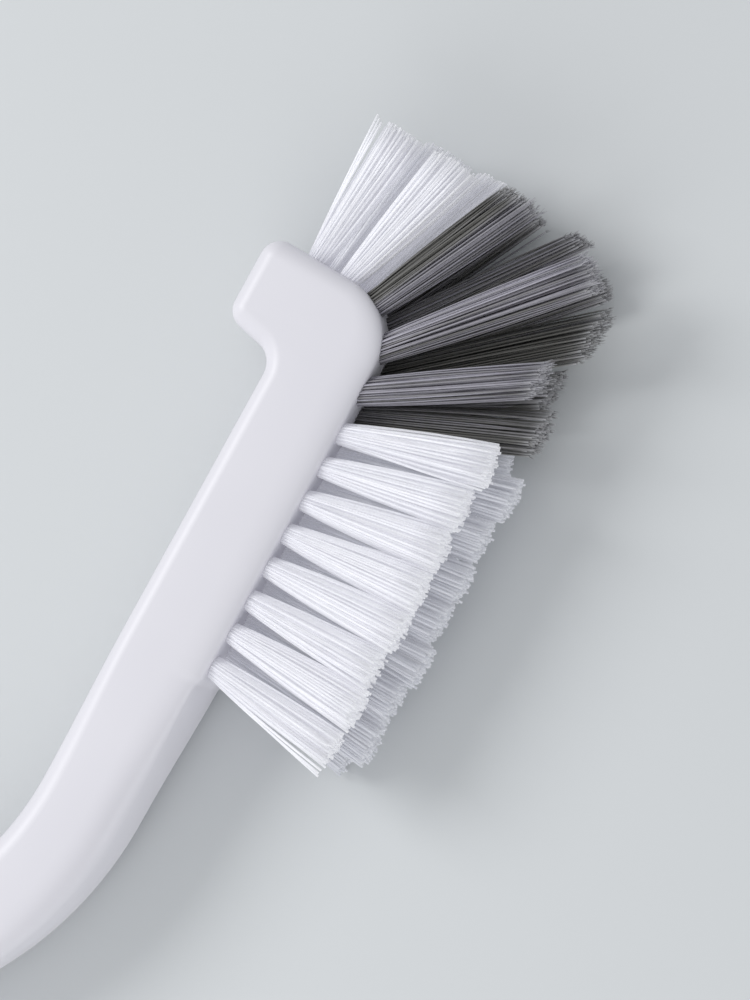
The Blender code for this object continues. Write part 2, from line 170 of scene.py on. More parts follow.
# For each row and zone, its dullest and brightest tone and its share of the usual fan; the middle and
# left rows' lower tones are painted shade, as all three rows are the same white filament
WHITE_LOOKS_WITH_PAINTED_SHADE = {
    "right_underside": (0.8, 1.0, 1.0),
    "middle_underside": (0.15, 0.36, 1.0),
    "left_underside": (0.08, 0.26, 1.0),
    "right_front": (0.72, 0.95, 1.15),
    "middle_front": (0.5, 0.8, 1.1),
    "left_front": (0.35, 0.7, 1.0),
}

# How much less the front tufts lean than their holes
FRONT_EASE = {"front_1": math.radians(1.0), "front_2": math.radians(3.5)}

# The tufts at whose rear (-1) or front (1) a few strands stand apart, past a narrower fan
APART_SIDES = {"tuft_right_underside_1": -1.0, "tuft_right_front_2": 1.0}
APART_FAN_SHARE = 0.8
APART_STRANDS = 3
APART_GAP = 0.62 * MM
APART_GAP_SHARES = (0.8, 1.2)
APART_ACROSS_SHARES = (0.1, 0.5)

# Grey filament, whose roots spread a little wider than the hole
GREY_STRANDS = 104
GREY_WIDTH = 0.32 * MM
GREY_WANDER = 0.5 * MM
GREY_RAGGED = 1.6 * MM
GREY_ROOT_SHARE = 1.3
GREY_TONE_SPREAD = 0.13

# For each grey tuft, its tone, its share of the usual fan and how much lighter its front is
GREY_LOOK_SHARES = {
    "right_nose_1": (0.7, 0.72, 0.0),
    "right_nose_2": (0.72, 0.93, 0.18),
    "right_nose_3": (0.44, 0.92, -0.3),
    "middle_nose_1": (0.34, 0.9, 0.0),
    "middle_nose_2": (0.24, 1.0, 0.0),
    "middle_nose_3": (0.52, 0.36, 0.0),
    "left_nose_1": (0.4, 0.9, 0.0),
    "left_nose_2": (0.4, 0.5, 0.0),
    "left_nose_3": (0.4, 0.5, -0.2),
}

# The hairs that a grey strand's tip is split into
HAIR_SIDES = 3
HAIR_CUTS = 2
SPLIT_HAIRS = 4
SPLIT_LENGTH = 1.25 * MM
SPLIT_LENGTH_SHARES = (0.4, 1.0)
SPLIT_REACH = 0.42 * MM
SPLIT_WIDTH = 0.13 * MM
SPLIT_START_SHARE = 0.95
SPLIT_BOW_SHARE = 0.25
SPLIT_TAPER_SHARE = 0.6

# The colour sockets of a Mix node, whose names other sockets of it share
MIX_FIRST = 6
MIX_SECOND = 7
MIX_RESULT = 2

# The camera, in the head's own axes
CAMERA_TILT = math.radians(14.0)
CAMERA_YAW = math.radians(0.4)
CAMERA_ROLL = math.radians(61.2)
CAMERA_DISTANCE = 0.428
CAMERA_TARGET = Vector((-29.8 * MM, -8.74 * MM, 0.0))
PHOTO_HEIGHT_PIXELS = 1000
METRES_PER_PIXEL = 0.16 * MM
SENSOR = 36.0

# Each lamp's place right, up and back from the brush's middle, its size and its power
LAMPS = {
    "key": ((-1.056, 0.6, 0.6), 0.7, 9.5),
    "fill": ((-0.27, -0.5, 0.42), 0.6, 1.6),
    "low": ((0.935, -0.55, 0.286), 0.4, 3.6),
}

# The even light all round, and the floor
SKY_COLOUR = (0.95, 0.97, 1.0, 1.0)
SKY_STRENGTH = 0.6
FLOOR_SIZE = 6.0
FLOOR_DROP = 0.1 * MM

body_low, body_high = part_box("brush_body")
HEAD_ORIGIN = Vector((body_high.x, body_low.y, (body_low.z + body_high.z) / 2.0))


# Working in Blender


def deselect():
    if bpy.context.object and bpy.context.object.mode != "OBJECT":
        bpy.ops.object.mode_set(mode="OBJECT")
    bpy.ops.object.select_all(action="DESELECT")


def make_active(obj):
    deselect()
    obj.select_set(True)
    bpy.context.view_layer.objects.active = obj


def newest(name):
    obj = bpy.context.active_object
    obj.name = name
    obj.data.name = name
    return obj


def settle(obj):
    """Puts the object's place, turn and size into its mesh."""
    make_active(obj)
    bpy.ops.object.transform_apply(location=True, rotation=True, scale=True)


def apply_modifier(obj, kind, **settings):
    make_active(obj)
    modifier = obj.modifiers.new(kind.title(), kind)
    for key, value in settings.items():
        setattr(modifier, key, value)
    bpy.ops.object.modifier_apply(modifier=modifier.name)


def cut(obj, cutter):
    apply_modifier(obj, "BOOLEAN", operation="DIFFERENCE", solver="EXACT", object=cutter)
    bpy.data.objects.remove(cutter)


def smooth(obj):
    make_active(obj)
    bpy.ops.object.shade_smooth_by_angle(angle=SMOOTH_ANGLE)


def blend(value, start, end, first, last):
    """Eases from first to last as value goes from start to end."""
    share = min(max((value - start) / (end - start), 0.0), 1.0)
    return first + (last - first) * share * share * (3.0 - 2.0 * share)


# Materials


class Value:
    """A node's output, on which arithmetic can be written."""

    def __init__(self, finish, socket):
        self.finish = finish
        self.socket = socket

    def maths(self, operation, first, second):
        return self.finish.node("ShaderNodeMath", {"operation": operation}, {0: first, 1: second})

    def __add__(self, other):
        return self.maths("ADD", self, other)

    def __mul__(self, other):
        return self.maths("MULTIPLY", self, other)

    def __sub__(self, other):
        return self.maths("SUBTRACT", self, other)

    def __rsub__(self, other):
        return self.maths("SUBTRACT", other, self)

    def __pow__(self, other):
        return self.maths("POWER", self, other)

    __radd__ = __add__
    __rmul__ = __mul__


class Finish:
    """One material and its nodes."""

    def __init__(self, name, specular=0.5):
        self.material = bpy.data.materials.new(name)
        self.material.use_nodes = True
        self.tree = self.material.node_tree
        self.shader = self.tree.nodes["Principled BSDF"]
        self.shader.inputs["Specular IOR Level"].default_value = specular

    def node(self, kind, settings=None, sockets=None, output=0):
        """Adds a node with its settings, then the values or links of its sockets."""
        made = self.tree.nodes.new(kind)
        for key, value in (settings or {}).items():
            if key == "stops":
                self.set_stops(made.color_ramp, value)
            else:
                setattr(made, key, value)
        for key, value in (sockets or {}).items():
            self.feed(made.inputs[key], value)
        return Value(self, made.outputs[output])

    def feed(self, socket, value):
        if isinstance(value, Value):
            self.tree.links.new(value.socket, socket)
        else:
            socket.default_value = value

    def set_stops(self, ramp, stops):
        while len(ramp.elements) < len(stops):
            ramp.elements.new(1.0)
        for element, (place, colour) in zip(ramp.elements, stops):
            element.position = place
            element.color = (*colour, 1.0)

    def scatter(self, weight, radius):
        """Lets light through, as nylon does."""
        self.shader.inputs["Subsurface Weight"].default_value = weight
        self.shader.inputs["Subsurface Radius"].default_value = (1.0, 1.0, 1.0)
        self.shader.inputs["Subsurface Scale"].default_value = radius

    def painted_glow(self, strength):
        """Painted light: the strands give off light of their own, in place of the light that many
        see-through strands pass on between them.
        """
        self.shader.inputs["Emission Strength"].default_value = strength

    def surface(self, **links):
        """Feeds the shader's varying sockets."""
        for socket, value in links.items():
            self.feed(self.shader.inputs[socket.replace("_", " ").title()], value)

    def noise(self, scale, detail=2.0):
        """A cloud of noise that stays fixed to the piece."""
        place = self.node("ShaderNodeTexCoord", output="Object")
        sockets = {"Vector": place, "Scale": scale, "Detail": detail}
        return self.node("ShaderNodeTexNoise", None, sockets)

    def attribute(self, name):
        """A value that the mesh keeps at its points."""
        return self.node("ShaderNodeAttribute", {"attribute_name": name}, output="Fac")

    def mix(self, share, first, second):
        settings = {"data_type": "RGBA", "clamp_factor": True}
        sockets = {"Factor": share, MIX_FIRST: first, MIX_SECOND: second}
        return self.node("ShaderNodeMix", settings, sockets, output=MIX_RESULT)

    def bump(self, height, strength, distance):
        sockets = {"Height": height, "Strength": strength, "Distance": distance}
        return self.node("ShaderNodeBump", None, sockets, output="Normal")


def moulded_white():
    """Satin white plastic, a little uneven in gloss, with the faint orange peel of a mould."""
    finish = Finish("moulded_white", specular=0.45)
    cloud = finish.noise(45.0)
    grain = finish.noise(900.0, detail=3.0)
    ripple = finish.noise(120.0, detail=1.0)
    colour = finish.mix(cloud, (0.69, 0.68, 0.725, 1.0), (0.73, 0.718, 0.76, 1.0))
    finish.surface(
        base_color=colour,
        roughness=0.34 + cloud * 0.06 + grain * 0.06,
        normal=finish.bump(grain * 0.25 + ripple, 0.25, 0.06 * MM),
    )
    return finish.material


def white_filament():
    """White nylon: each strand a tone of its own at random, and painted shade that darkens it towards
    its root.
    """
    finish = Finish("white_filament", specular=0.3)
    finish.scatter(0.7, 1.3 * MM)
    # Painted light: the white strands glow faintly of themselves.
    finish.painted_glow(0.22)
    tone = finish.attribute("tone")
    along = finish.attribute("along")
    fleck = finish.noise(700.0)
    shade = tone * 0.9 + fleck * 0.2 - 0.05
    strand = finish.mix(shade, (0.38, 0.39, 0.43, 1.0), (0.77, 0.77, 0.81, 1.0))
    # Painted shade: the strands grow darker towards their roots, where the body shades them.
    painted_root_shade = (1.0 - along) ** 6.0
    colour = finish.mix(painted_root_shade, strand, (0.62, 0.62, 0.68, 1.0))
    # The emission takes the strand's colour, so the painted glow follows it.
    finish.surface(base_color=colour, emission_color=colour, roughness=0.45 + fleck * 0.1)
    return finish.material


def grey_filament():
    """Mixed greys, from dark olive to pale lavender, whose split tips are bleached."""
    finish = Finish("grey_filament", specular=0.45)
    tone = finish.attribute("tone")
    along = finish.attribute("along")
    fleck = finish.noise(900.0)
    stops = (
        (0.0, (0.05, 0.049, 0.043)),
        (0.35, (0.13, 0.127, 0.118)),
        (0.7, (0.32, 0.31, 0.35)),
        (1.0, (0.53, 0.515, 0.595)),
    )
    ramp = finish.node("ShaderNodeValToRGB", {"stops": stops}, {"Fac": tone * 0.85 + fleck * 0.15})
    bleached = along**30.0 * 0.75
    colour = finish.mix(bleached, ramp, (0.58, 0.58, 0.6, 1.0))
    finish.surface(base_color=colour, roughness=0.4 + fleck * 0.15)
    return finish.material


def pale_floor():
    """A matt pale ground, clouded a little."""
    finish = Finish("pale_floor")
    cloud = finish.noise(3.0)
    colour = finish.mix(cloud, (0.6107, 0.6304, 0.64025, 1.0), (0.62, 0.64, 0.65, 1.0))
    finish.surface(base_color=colour, roughness=0.6)
    return finish.material


# The side view of the head


def nose_corner():
    """Where the tufted face and the front would meet in a sharp nose."""
    return Vector((-NOSE_RAKE, 0.0))


def hook_front_corner():
    return Vector((0.0, HEAD_DEPTH + HOOK_RISE))


def front_slope():
    """How far the front is turned up from the tufted face."""
    rise = hook_front_corner() - nose_corner()
    return math.atan2(rise.y, rise.x)


def nose_reach():
    """How far the nose's rounding runs back from its sharp corner."""
    return NOSE_RADIUS * math.tan(front_slope() / 2.0)


def flat_run():
    """The flat stretch of tufted face forward of the rearmost outer hole."""
    return HEAD_LENGTH - HEEL_MARGIN - NOSE_RAKE - nose_reach()


def curved_run():
    return NOSE_RADIUS * front_slope()


def whole_run():
    """The run along the tufted face from the rearmost outer hole to the foremost."""
    front = (hook_front_corner() - nose_corner()).length - nose_reach()
    return flat_run() + curved_run() + front - FRONT_MARGIN


def tufted_face(distance):
    """The point on the tufted face at a distance forward of the rearmost outer hole."""
    start = Vector((nose_corner().x - nose_reach(), 0.0))
    if distance <= flat_run():
        return start - Vector((flat_run() - distance, 0.0))
    if distance <= flat_run() + curved_run():
        angle = (distance - flat_run()) / NOSE_RADIUS
        return start + Vector((math.sin(angle), 1.0 - math.cos(angle))) * NOSE_RADIUS
    rise = Vector((math.cos(front_slope()), math.sin(front_slope())))
    return nose_corner() + rise * (nose_reach() + distance - flat_run() - curved_run())


def round_corner(before, corner, after, radius):
    """Points and outward normals along an arc that rounds a corner of the outline."""
    incoming = (corner - before).normalized()
    outgoing = (after - corner).normalized()
    turn = incoming.angle_signed(outgoing)
    start = corner - incoming * (radius * math.tan(abs(turn) / 2.0))
    side = math.copysign(1.0, turn)
    spoke = Vector((-incoming.y, incoming.x)) * side
    centre = start - spoke * radius
    arc = []
    for step in range(CORNER_STEPS + 1):
        turned = spoke.copy()
        turned.rotate(Matrix.Rotation(-turn * step / CORNER_STEPS, 2))
        arc.append((centre + turned * radius, turned * side))
    return arc


def nose_arc():
    """The nose from its underside to its front: points, outward normals and the edge's drop."""
    start = Vector((nose_corner().x - nose_reach(), NOSE_RADIUS))
    steps = 2 * CORNER_STEPS + 1
    arc = []
    for step in range(steps + 1):
        angle = front_slope() * step / steps
        normal = Vector((math.sin(angle), -math.cos(angle)))
        drop = blend(step, 0, steps, HEAD_FACE_DROP, HEAD_BACK_EDGE)
        arc.append((start + normal * NOSE_RADIUS, normal, drop))
    return arc


def head_stations():
    """Stations from the heel to the front: a back point and normal, and a face point like the nose's."""
    heel = Vector((-HEAD_LENGTH, HEAD_DEPTH))
    notch = Vector((-HOOK_LENGTH - HOOK_DRAFT, HEAD_DEPTH))
    hook_rear = Vector((-HOOK_LENGTH, HEAD_DEPTH + HOOK_RISE))
    notch_arc = round_corner(heel, notch, hook_rear, HOOK_NOTCH)
    rear_arc = round_corner(notch, hook_rear, hook_front_corner(), HOOK_CORNER)
    front_arc = round_corner(hook_rear, hook_front_corner(), nose_corner(), HOOK_CORNER)
    down = Vector((0.0, -1.0))
    below_notch = [(Vector((point.x, 0.0)), down, HEAD_FACE_DROP) for point, _ in notch_arc]
    return list(zip(notch_arc + rear_arc + front_arc, below_notch + nose_arc()))


# The handle's path and its sizes along it


def grip_start():
    return NECK_LENGTH + BEND_RADIUS * BEND_ANGLE


def handle_length():
    return grip_start() + GRIP_LENGTH


def back_line(distance):
    """The handle's back at a distance behind the head: a point and its outward normal."""
    grip_radius = GRIP_LENGTH / GRIP_RETURN
    point = Vector((-HEAD_LENGTH - min(distance, NECK_LENGTH), HEAD_DEPTH))
    bend = min(max(distance - NECK_LENGTH, 0.0) / BEND_RADIUS, BEND_ANGLE)
    point += BEND_RADIUS * Vector((-math.sin(bend), 1.0 - math.cos(bend)))
    heading = bend - max(distance - grip_start(), 0.0) / grip_radius
    swing = Vector((math.sin(heading) - math.sin(bend), math.cos(heading) - math.cos(bend)))
    return point + grip_radius * swing, Vector((math.sin(heading), math.cos(heading)))


def handle_depth(distance):
    middle = grip_start() + GRIP_LENGTH / 2.0
    depth = blend(distance, 0.0, HEEL_RAMP, HEAD_DEPTH, NECK_DEPTH)
    depth = blend(distance, NECK_LENGTH, middle, depth, GRIP_DEPTH)
    return blend(distance, middle, handle_length(), depth, GRIP_END_DEPTH)


def handle_width(distance):
    width = blend(distance, 0.0, NECK_LENGTH, HEAD_WIDTH, NECK_WIDTH)
    return blend(distance, grip_start(), handle_length() - GRIP_WIDTH, width, GRIP_WIDTH)


def handle_edges(distance):
    """How far the roundings of the back and the underside reach across, and the latter's drop."""
    back = blend(distance, 0.0, NECK_LENGTH, HEAD_BACK_EDGE, NECK_BACK_EDGE)
    face = blend(distance, 0.0, NECK_LENGTH, HEAD_FACE_EDGE, NECK_FACE_EDGE)
    drop = blend(distance, 0.0, NECK_LENGTH, HEAD_FACE_DROP, NECK_FACE_DROP)
    grip = (grip_start(), handle_length() - GRIP_WIDTH)
    return [blend(distance, *grip, size, GRIP_EDGE) for size in (back, face, drop)]


# The moulded body


def edge_points(point, normal, half_width, edge, drop):
    """One edge of the body, from the mid plane out to the side: a flat run, then a rounding."""
    points = [Vector((point.x, point.y, 0.0))]
    for step in range(EDGE_STEPS + 1):
        angle = math.pi / 2.0 * step / EDGE_STEPS
        inset = point - normal * (drop * (1.0 - math.cos(angle)))
        points.append(Vector((inset.x, inset.y, half_width - edge + edge * math.sin(angle))))
    return points


def section_ring(back, back_normal, face, face_normal, half_width, edges):
    """Half of a cross section, from the back's mid line over the side to the face's mid line."""
    back_edge, face_edge, face_drop = edges
    upper = edge_points(back, back_normal, half_width, back_edge, back_edge)
    lower = edge_points(face, face_normal, half_width, face_edge, face_drop)
    return upper + lower[::-1]


def handle_ring(distance, half_width, fullness):
    """A cross section of the handle; fullness falls from 1 to 0 round the end of the grip."""
    point, normal = back_line(distance)
    depth = handle_depth(distance)
    thinned = blend(fullness, 0.0, 1.0, TIP_DEPTH, depth)
    edges = [blend(fullness, 0.0, 1.0, TIP_EDGE, size) for size in handle_edges(distance)]
    edges = [min(size, half_width) for size in edges]
    back = point - normal * ((depth - thinned) / 2.0)
    return section_ring(back, normal, back - normal * thinned, -normal, half_width, edges)


def closing_ring(ring):
    """The ring with its upper half laid onto its lower half, which closes an end."""
    lower = ring[len(ring) // 2:]
    return lower[::-1] + lower


def body_rings():
    """Half cross sections from the end of the grip to the front face, closed at both ends."""
    rings = []
    end_radius = GRIP_WIDTH / 2.0
    for step in range(1, END_STEPS + 1):
        angle = math.pi / 2.0 * step / (END_STEPS + 1)
        distance = handle_length() - end_radius * (1.0 - math.cos(angle))
        rings.append(handle_ring(distance, end_radius * math.sin(angle), math.sin(angle)))
    last = handle_length() - end_radius
    distances = [last + (HEEL_RAMP - last) * step / GRIP_STEPS for step in range(GRIP_STEPS)]
    distances += [HEEL_RAMP * (1.0 - step / RAMP_STEPS) for step in range(RAMP_STEPS + 1)]
    rings += [handle_ring(distance, handle_width(distance) / 2.0, 1.0) for distance in distances]
    for (back, back_normal), (face, face_normal, drop) in head_stations():
        edges = (HEAD_BACK_EDGE, HEAD_FACE_EDGE, drop)
        ring = section_ring(back, back_normal, face, face_normal, HEAD_WIDTH / 2.0, edges)
        rings.append(ring)
    return [closing_ring(rings[0])] + rings + [closing_ring(rings[-1])]


def loft(name, rings):
    """A grid whose rows are laid along the rings."""
    columns = len(rings[0]) - 1
    bpy.ops.mesh.primitive_grid_add(x_subdivisions=columns, y_subdivisions=len(rings) - 1)
    obj = newest(name)
    obj.data.transform(obj.matrix_world)
    points = [HEAD_ORIGIN + point for ring in rings for point in ring]
    for vertex, point in zip(obj.data.vertices, points):
        vertex.co = point
    return obj


def merge_doubles(obj):
    """Merges points that lie on each other, and points the faces outward."""
    make_active(obj)
    bpy.ops.object.mode_set(mode="EDIT")
    bpy.ops.mesh.select_all(action="SELECT")
    bpy.ops.mesh.remove_doubles(threshold=MERGE_DISTANCE)
    bpy.ops.mesh.normals_make_consistent(inside=False)
    bpy.ops.object.mode_set(mode="OBJECT")


def mirror_halves(obj):
    """Mirrors the half across the brush's middle plane."""
    middle = Matrix.Translation((0.0, 0.0, HEAD_ORIGIN.z))
    obj.data.transform(middle.inverted())
    apply_modifier(
        obj,
        "MIRROR",
        use_axis=(False, False, True),
        use_mirror_merge=True,
        merge_threshold=MERGE_DISTANCE,
    )
    obj.data.transform(middle)


def tuft_holes():
    """A single cutter with a drill at every hole."""
    deselect()
    depth = HOLE_DEPTH + CUT_OVERRUN
    bpy.ops.mesh.primitive_cylinder_add(vertices=HOLE_SIDES, radius=HOLE_DIAMETER / 2.0, depth=depth)
    drill = newest("drill")
    drill.data.transform(Matrix.Translation((0.0, 0.0, CUT_OVERRUN - depth / 2.0)))
    holes = bmesh.new()
    for _, place, _ in tuft_places():
        copy = drill.data.copy()
        copy.transform(place)
        holes.from_mesh(copy)
        bpy.data.meshes.remove(copy)
    holes.to_mesh(drill.data)
    holes.free()
    return drill


def hang_frame():
    """The hanging slot's axes: +Z through the grip, +X along it."""
    point, normal = back_line(handle_length() - HANG_WALL - HANG_LENGTH / 2.0)
    through = normal.to_3d()
    along = Vector((normal.y, -normal.x, 0.0))
    turn = Matrix((along, through.cross(along), through)).transposed()
    place = HEAD_ORIGIN + (point - normal * (GRIP_END_DEPTH / 2.0)).to_3d()
    return Matrix.LocRotScale(place, turn.to_quaternion(), None)


def spread_mouth(side):
    """Draws one end of the slot's cutter out into a rounded flare."""
    half_length = HANG_LENGTH / 2.0
    half_width = HANG_WIDTH / 2.0
    grown = 0.0
    turn = math.pi / 2.0 / LIP_STEPS
    for step in range(1, LIP_STEPS + 1):
        angle = turn * step
        rise = HANG_LIP * (math.sin(angle) - math.sin(angle - turn))
        grow = HANG_LIP * (1.0 - math.cos(angle))
        bpy.ops.mesh.extrude_region_move(TRANSFORM_OT_translate={"value": (0.0, 0.0, side * rise)})
        along = (half_length + grow) / (half_length + grown)
        across = (half_width + grow) / (half_width + grown)
        bpy.ops.transform.resize(value=(along, across, 1.0), center_override=(0.0, 0.0, 0.0))
        grown = grow
    bpy.ops.mesh.extrude_region_move(
        TRANSFORM_OT_translate={"value": (0.0, 0.0, side * CUT_OVERRUN)}
    )


def select_cap(obj, side):
    """Selects the cap that faces up (1) or down (-1), in edit mode."""
    bpy.ops.mesh.select_all(action="DESELECT")
    bpy.ops.object.mode_set(mode="OBJECT")
    for face in obj.data.polygons:
        face.select = face.normal.z * side > CAP_FACING
    bpy.ops.object.mode_set(mode="EDIT")


def hang_slot():
    """The slot's cutter: a cylinder pulled out along the grip, with flared mouths."""
    deselect()
    depth = GRIP_END_DEPTH - 2.0 * HANG_LIP
    radius = HANG_WIDTH / 2.0
    bpy.ops.mesh.primitive_cylinder_add(vertices=SLOT_SIDES, radius=radius, depth=depth)
    slot = newest("slot")
    for vertex in slot.data.vertices:
        vertex.co.x += math.copysign((HANG_LENGTH - HANG_WIDTH) / 2.0, vertex.co.x)
    bpy.ops.object.mode_set(mode="EDIT")
    bpy.ops.mesh.select_mode(type="FACE")
    for side in (1.0, -1.0):
        select_cap(slot, side)
        spread_mouth(side)
    bpy.ops.object.mode_set(mode="OBJECT")
    slot.data.transform(hang_frame())
    return slot


def make_body():
    deselect()
    body = loft("moulded_body", body_rings())
    merge_doubles(body)
    mirror_halves(body)
    merge_doubles(body)
    cut(body, hang_slot())
    cut(body, tuft_holes())
    smooth(body)
    body.data.materials.append(moulded_white())
    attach(body, ROW_BODY)
    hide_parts("brush_body")


# The tufts


def outer_places():
    """Where the outer rows' holes lie along the tufted face, heel first."""
    under_pitch = (flat_run() - NOSE_MARGIN) / (UNDER_TUFTS - 1)
    room = whole_run() - under_pitch * (UNDER_TUFTS - 1) - FRONT_PITCH * FRONT_TUFTS
    pitches = [under_pitch] * (UNDER_TUFTS - 1)
    pitches += [room / NOSE_TUFTS] * NOSE_TUFTS
    pitches += [FRONT_PITCH] * FRONT_TUFTS
    places = [0.0]
    for pitch in pitches:
        places.append(places[-1] + pitch)
    return places


def zone_names(under_tufts):
    counts = {"underside": under_tufts, "nose": NOSE_TUFTS, "front": FRONT_TUFTS}
    return [f"{zone}_{number + 1}" for zone, count in counts.items() for number in range(count)]


def tuft_frame(place, lean, side):
    """A tuft's own axes at its hole's mouth: +Z along the tuft, +X forward, +Y across the rows."""
    mouth = HEAD_ORIGIN + tufted_face(place).to_3d()
    mouth.z += side * ROW_SPACING
    axis = Vector((math.sin(lean), -math.cos(lean), side * ROW_SPLAY / TRIM_UNDER)).normalized()
    forward = Vector((math.cos(lean), math.sin(lean), 0.0))
    turn = Matrix((forward, axis.cross(forward), axis)).transposed()
    return Matrix.LocRotScale(mouth, turn.to_quaternion(), None)


def tuft_places():
    """The node name, axes and trim inset of each tuft, row by row."""
    outer = outer_places()
    middle = [(first + second) / 2.0 for first, second in zip(outer, outer[1:])]
    rows = (
        ("right", 1.0, zone_names(UNDER_TUFTS), outer, OUTER_DEGREES),
        ("middle", 0.0, zone_names(UNDER_TUFTS - 1), middle, MIDDLE_DEGREES),
        ("left", -1.0, zone_names(UNDER_TUFTS), outer, OUTER_DEGREES),
    )
    tufts = []
    for row, side, names, places, leans in rows:
        for name, place, lean in zip(names, places, leans):
            axes = tuft_frame(place, math.radians(lean), side)
            inset = abs(side) * blend(lean, ROW_TRIM_FIRST, ROW_TRIM_LAST, ROW_TRIM, 0.0)
            tufts.append((f"tuft_{row}_{name}", axes, inset))
    return tufts


def trimmed_length(start, direction, inset):
    """How far a strand runs from its start to the trim face, drawn in by the inset."""
    under = TRIM_UNDER - inset
    top = Vector((TRIM_FRONT - inset, HEAD_DEPTH))
    corner = TRIM_CORNER - inset
    facing = Vector((math.cos(TRIM_RAKE), -math.sin(TRIM_RAKE)))
    point = (start - HEAD_ORIGIN).xy
    ray = direction.xy.normalized()
    to_under = (under + point.y) / max(-ray.y, RAY_SHARE)
    to_front = facing.dot(top - point) / max(facing.dot(ray), RAY_SHARE)
    reach = min(to_under, to_front)
    end = point + ray * reach
    height = corner - under
    centre = Vector((top.x - (corner - (top.y - height) * facing.y) / facing.x, height))
    past = end - centre
    if past.x > 0.0 and past.y * facing.x < past.x * facing.y:
        offset = point - centre
        along = offset.dot(ray)
        reach = math.sqrt(along**2 - offset.length_squared + corner**2) - along
    return reach / direction.xy.length


def unit_strand(name, sides, cuts):
    """A tube of unit width and height that stands on the origin, with rings along it."""
    deselect()
    bpy.ops.mesh.primitive_cylinder_add(vertices=sides, radius=0.5, depth=1.0, location=(0, 0, 0.5))
    strand = newest(name)
    settle(strand)
    bpy.ops.object.mode_set(mode="EDIT")
    bpy.ops.mesh.select_mode(type="EDGE")
    bpy.ops.mesh.select_all(action="DESELECT")
    bpy.ops.object.mode_set(mode="OBJECT")
    for edge in strand.data.edges:
        low, high = [strand.data.vertices[index].co.z for index in edge.vertices]
        edge.select = abs(high - low) > 0.5
    bpy.ops.object.mode_set(mode="EDIT")
    bpy.ops.mesh.subdivide(number_cuts=cuts)
    bpy.ops.object.mode_set(mode="OBJECT")
    mesh = strand.data
    bpy.data.objects.remove(strand)
    return mesh


class Tuft:
    """A growing mesh of strands, each with its tone and its run from root to tip."""

    def __init__(self, name):
        self.name = name
        self.mesh = bmesh.new()
        self.tone = self.mesh.verts.layers.float.new("tone")
        self.along = self.mesh.verts.layers.float.new("along")

    def add(self, unit, root, tip, bow, width, tone, start=0.0, taper=1.0):
        """Copies the unit strand from root to tip, bowed to one side."""
        first = len(self.mesh.verts)
        self.mesh.from_mesh(unit)
        self.mesh.verts.ensure_lookup_table()
        run = tip - root
        across = run.orthogonal().normalized()
        beside = run.cross(across).normalized()
        for vertex in self.mesh.verts[first:]:
            share = vertex.co.z
            centre = root + run * share + bow * (4.0 * share * (1.0 - share))
            radius = width * (1.0 + (taper - 1.0) * share)
            vertex.co = centre + (across * vertex.co.x + beside * vertex.co.y) * radius
            vertex[self.tone] = tone
            vertex[self.along] = start + (1.0 - start) * share

    def finish(self, node, slot, material):
        data = bpy.data.meshes.new(self.name)
        self.mesh.to_mesh(data)
        self.mesh.free()
        obj = bpy.data.objects.new(self.name, data)
        bpy.context.scene.collection.objects.link(obj)
        data.materials.append(material)
        data.shade_smooth()
        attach(obj, ROW_BODY)
        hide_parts(node)


def wander(rng, reach):
    """A small sideways offset in a tuft's own axes."""
    angle = rng.uniform(0.0, math.tau)
    return Vector((math.cos(angle), math.sin(angle), 0.0)) * (reach * math.sqrt(rng.random()))


def bulge(rng, place, tip):
    """How a strand bows: a little at random, and outward from the middle of its tuft."""
    outward = place.inverted() @ tip
    outward.z = 0.0
    return place.to_3x3() @ (wander(rng, BOW) + outward * (BELLY / TIP_RADIUS))


def strand_run(place, inset, square_share, width, start, end):
    """Root, tip and direction of a strand, out to the trim face or square to the tuft.

    Its aim is kept between the floor and the body's upper side.
    """
    axis = place.to_3x3().col[2]
    length = trimmed_length(place.translation, axis, inset)
    mouth = place @ start
    aim = place @ (end + Vector((0.0, 0.0, length)))
    aim.z = min(max(aim.z, width), 2.0 * HEAD_ORIGIN.z - width)
    direction = (aim - mouth).normalized()
    trimmed = trimmed_length(mouth, direction, inset)
    square = (length - axis.dot(mouth - place.translation)) / axis.dot(direction)
    reach = trimmed + (square - trimmed) * square_share
    return mouth - direction * ROOT_DEPTH, mouth + direction * reach, direction


def fan_out(rng, place, inset, square_share, count, width, root_width, spread, tips_wander):
    """The run of each strand of a tuft, spread evenly over the fan with some strays."""
    root_radius = (root_width - width) / 2.0
    for index in range(count):
        radius = math.sqrt((index + 0.5) / count)
        angle = index * GOLDEN_ANGLE
        share = Vector((radius * math.cos(angle), radius * math.sin(angle), 0.0))
        stray = wander(rng, LOOSE_REACH if rng.random() < LOOSE_SHARE else tips_wander)
        end = share * spread + stray
        yield strand_run(place, inset, square_share, width, share * root_radius, end)


def stand_apart(rng, place, inset, spread, side):
    """The run of the few strands that have come away from the end of a row, one past another."""
    root_radius = (HOLE_DIAMETER - WHITE_WIDTH) / 2.0
    for number in range(APART_STRANDS):
        across = rng.uniform(*APART_ACROSS_SHARES)
        start = Vector((side * math.sqrt(1.0 - across**2), across, 0.0)) * root_radius
        past = spread + APART_GAP * (number + rng.uniform(*APART_GAP_SHARES))
        end = Vector((side * past, across * TIP_RADIUS, 0.0))
        yield strand_run(place, inset + WHITE_RAGGED * rng.random(), 0.0, WHITE_WIDTH, start, end)


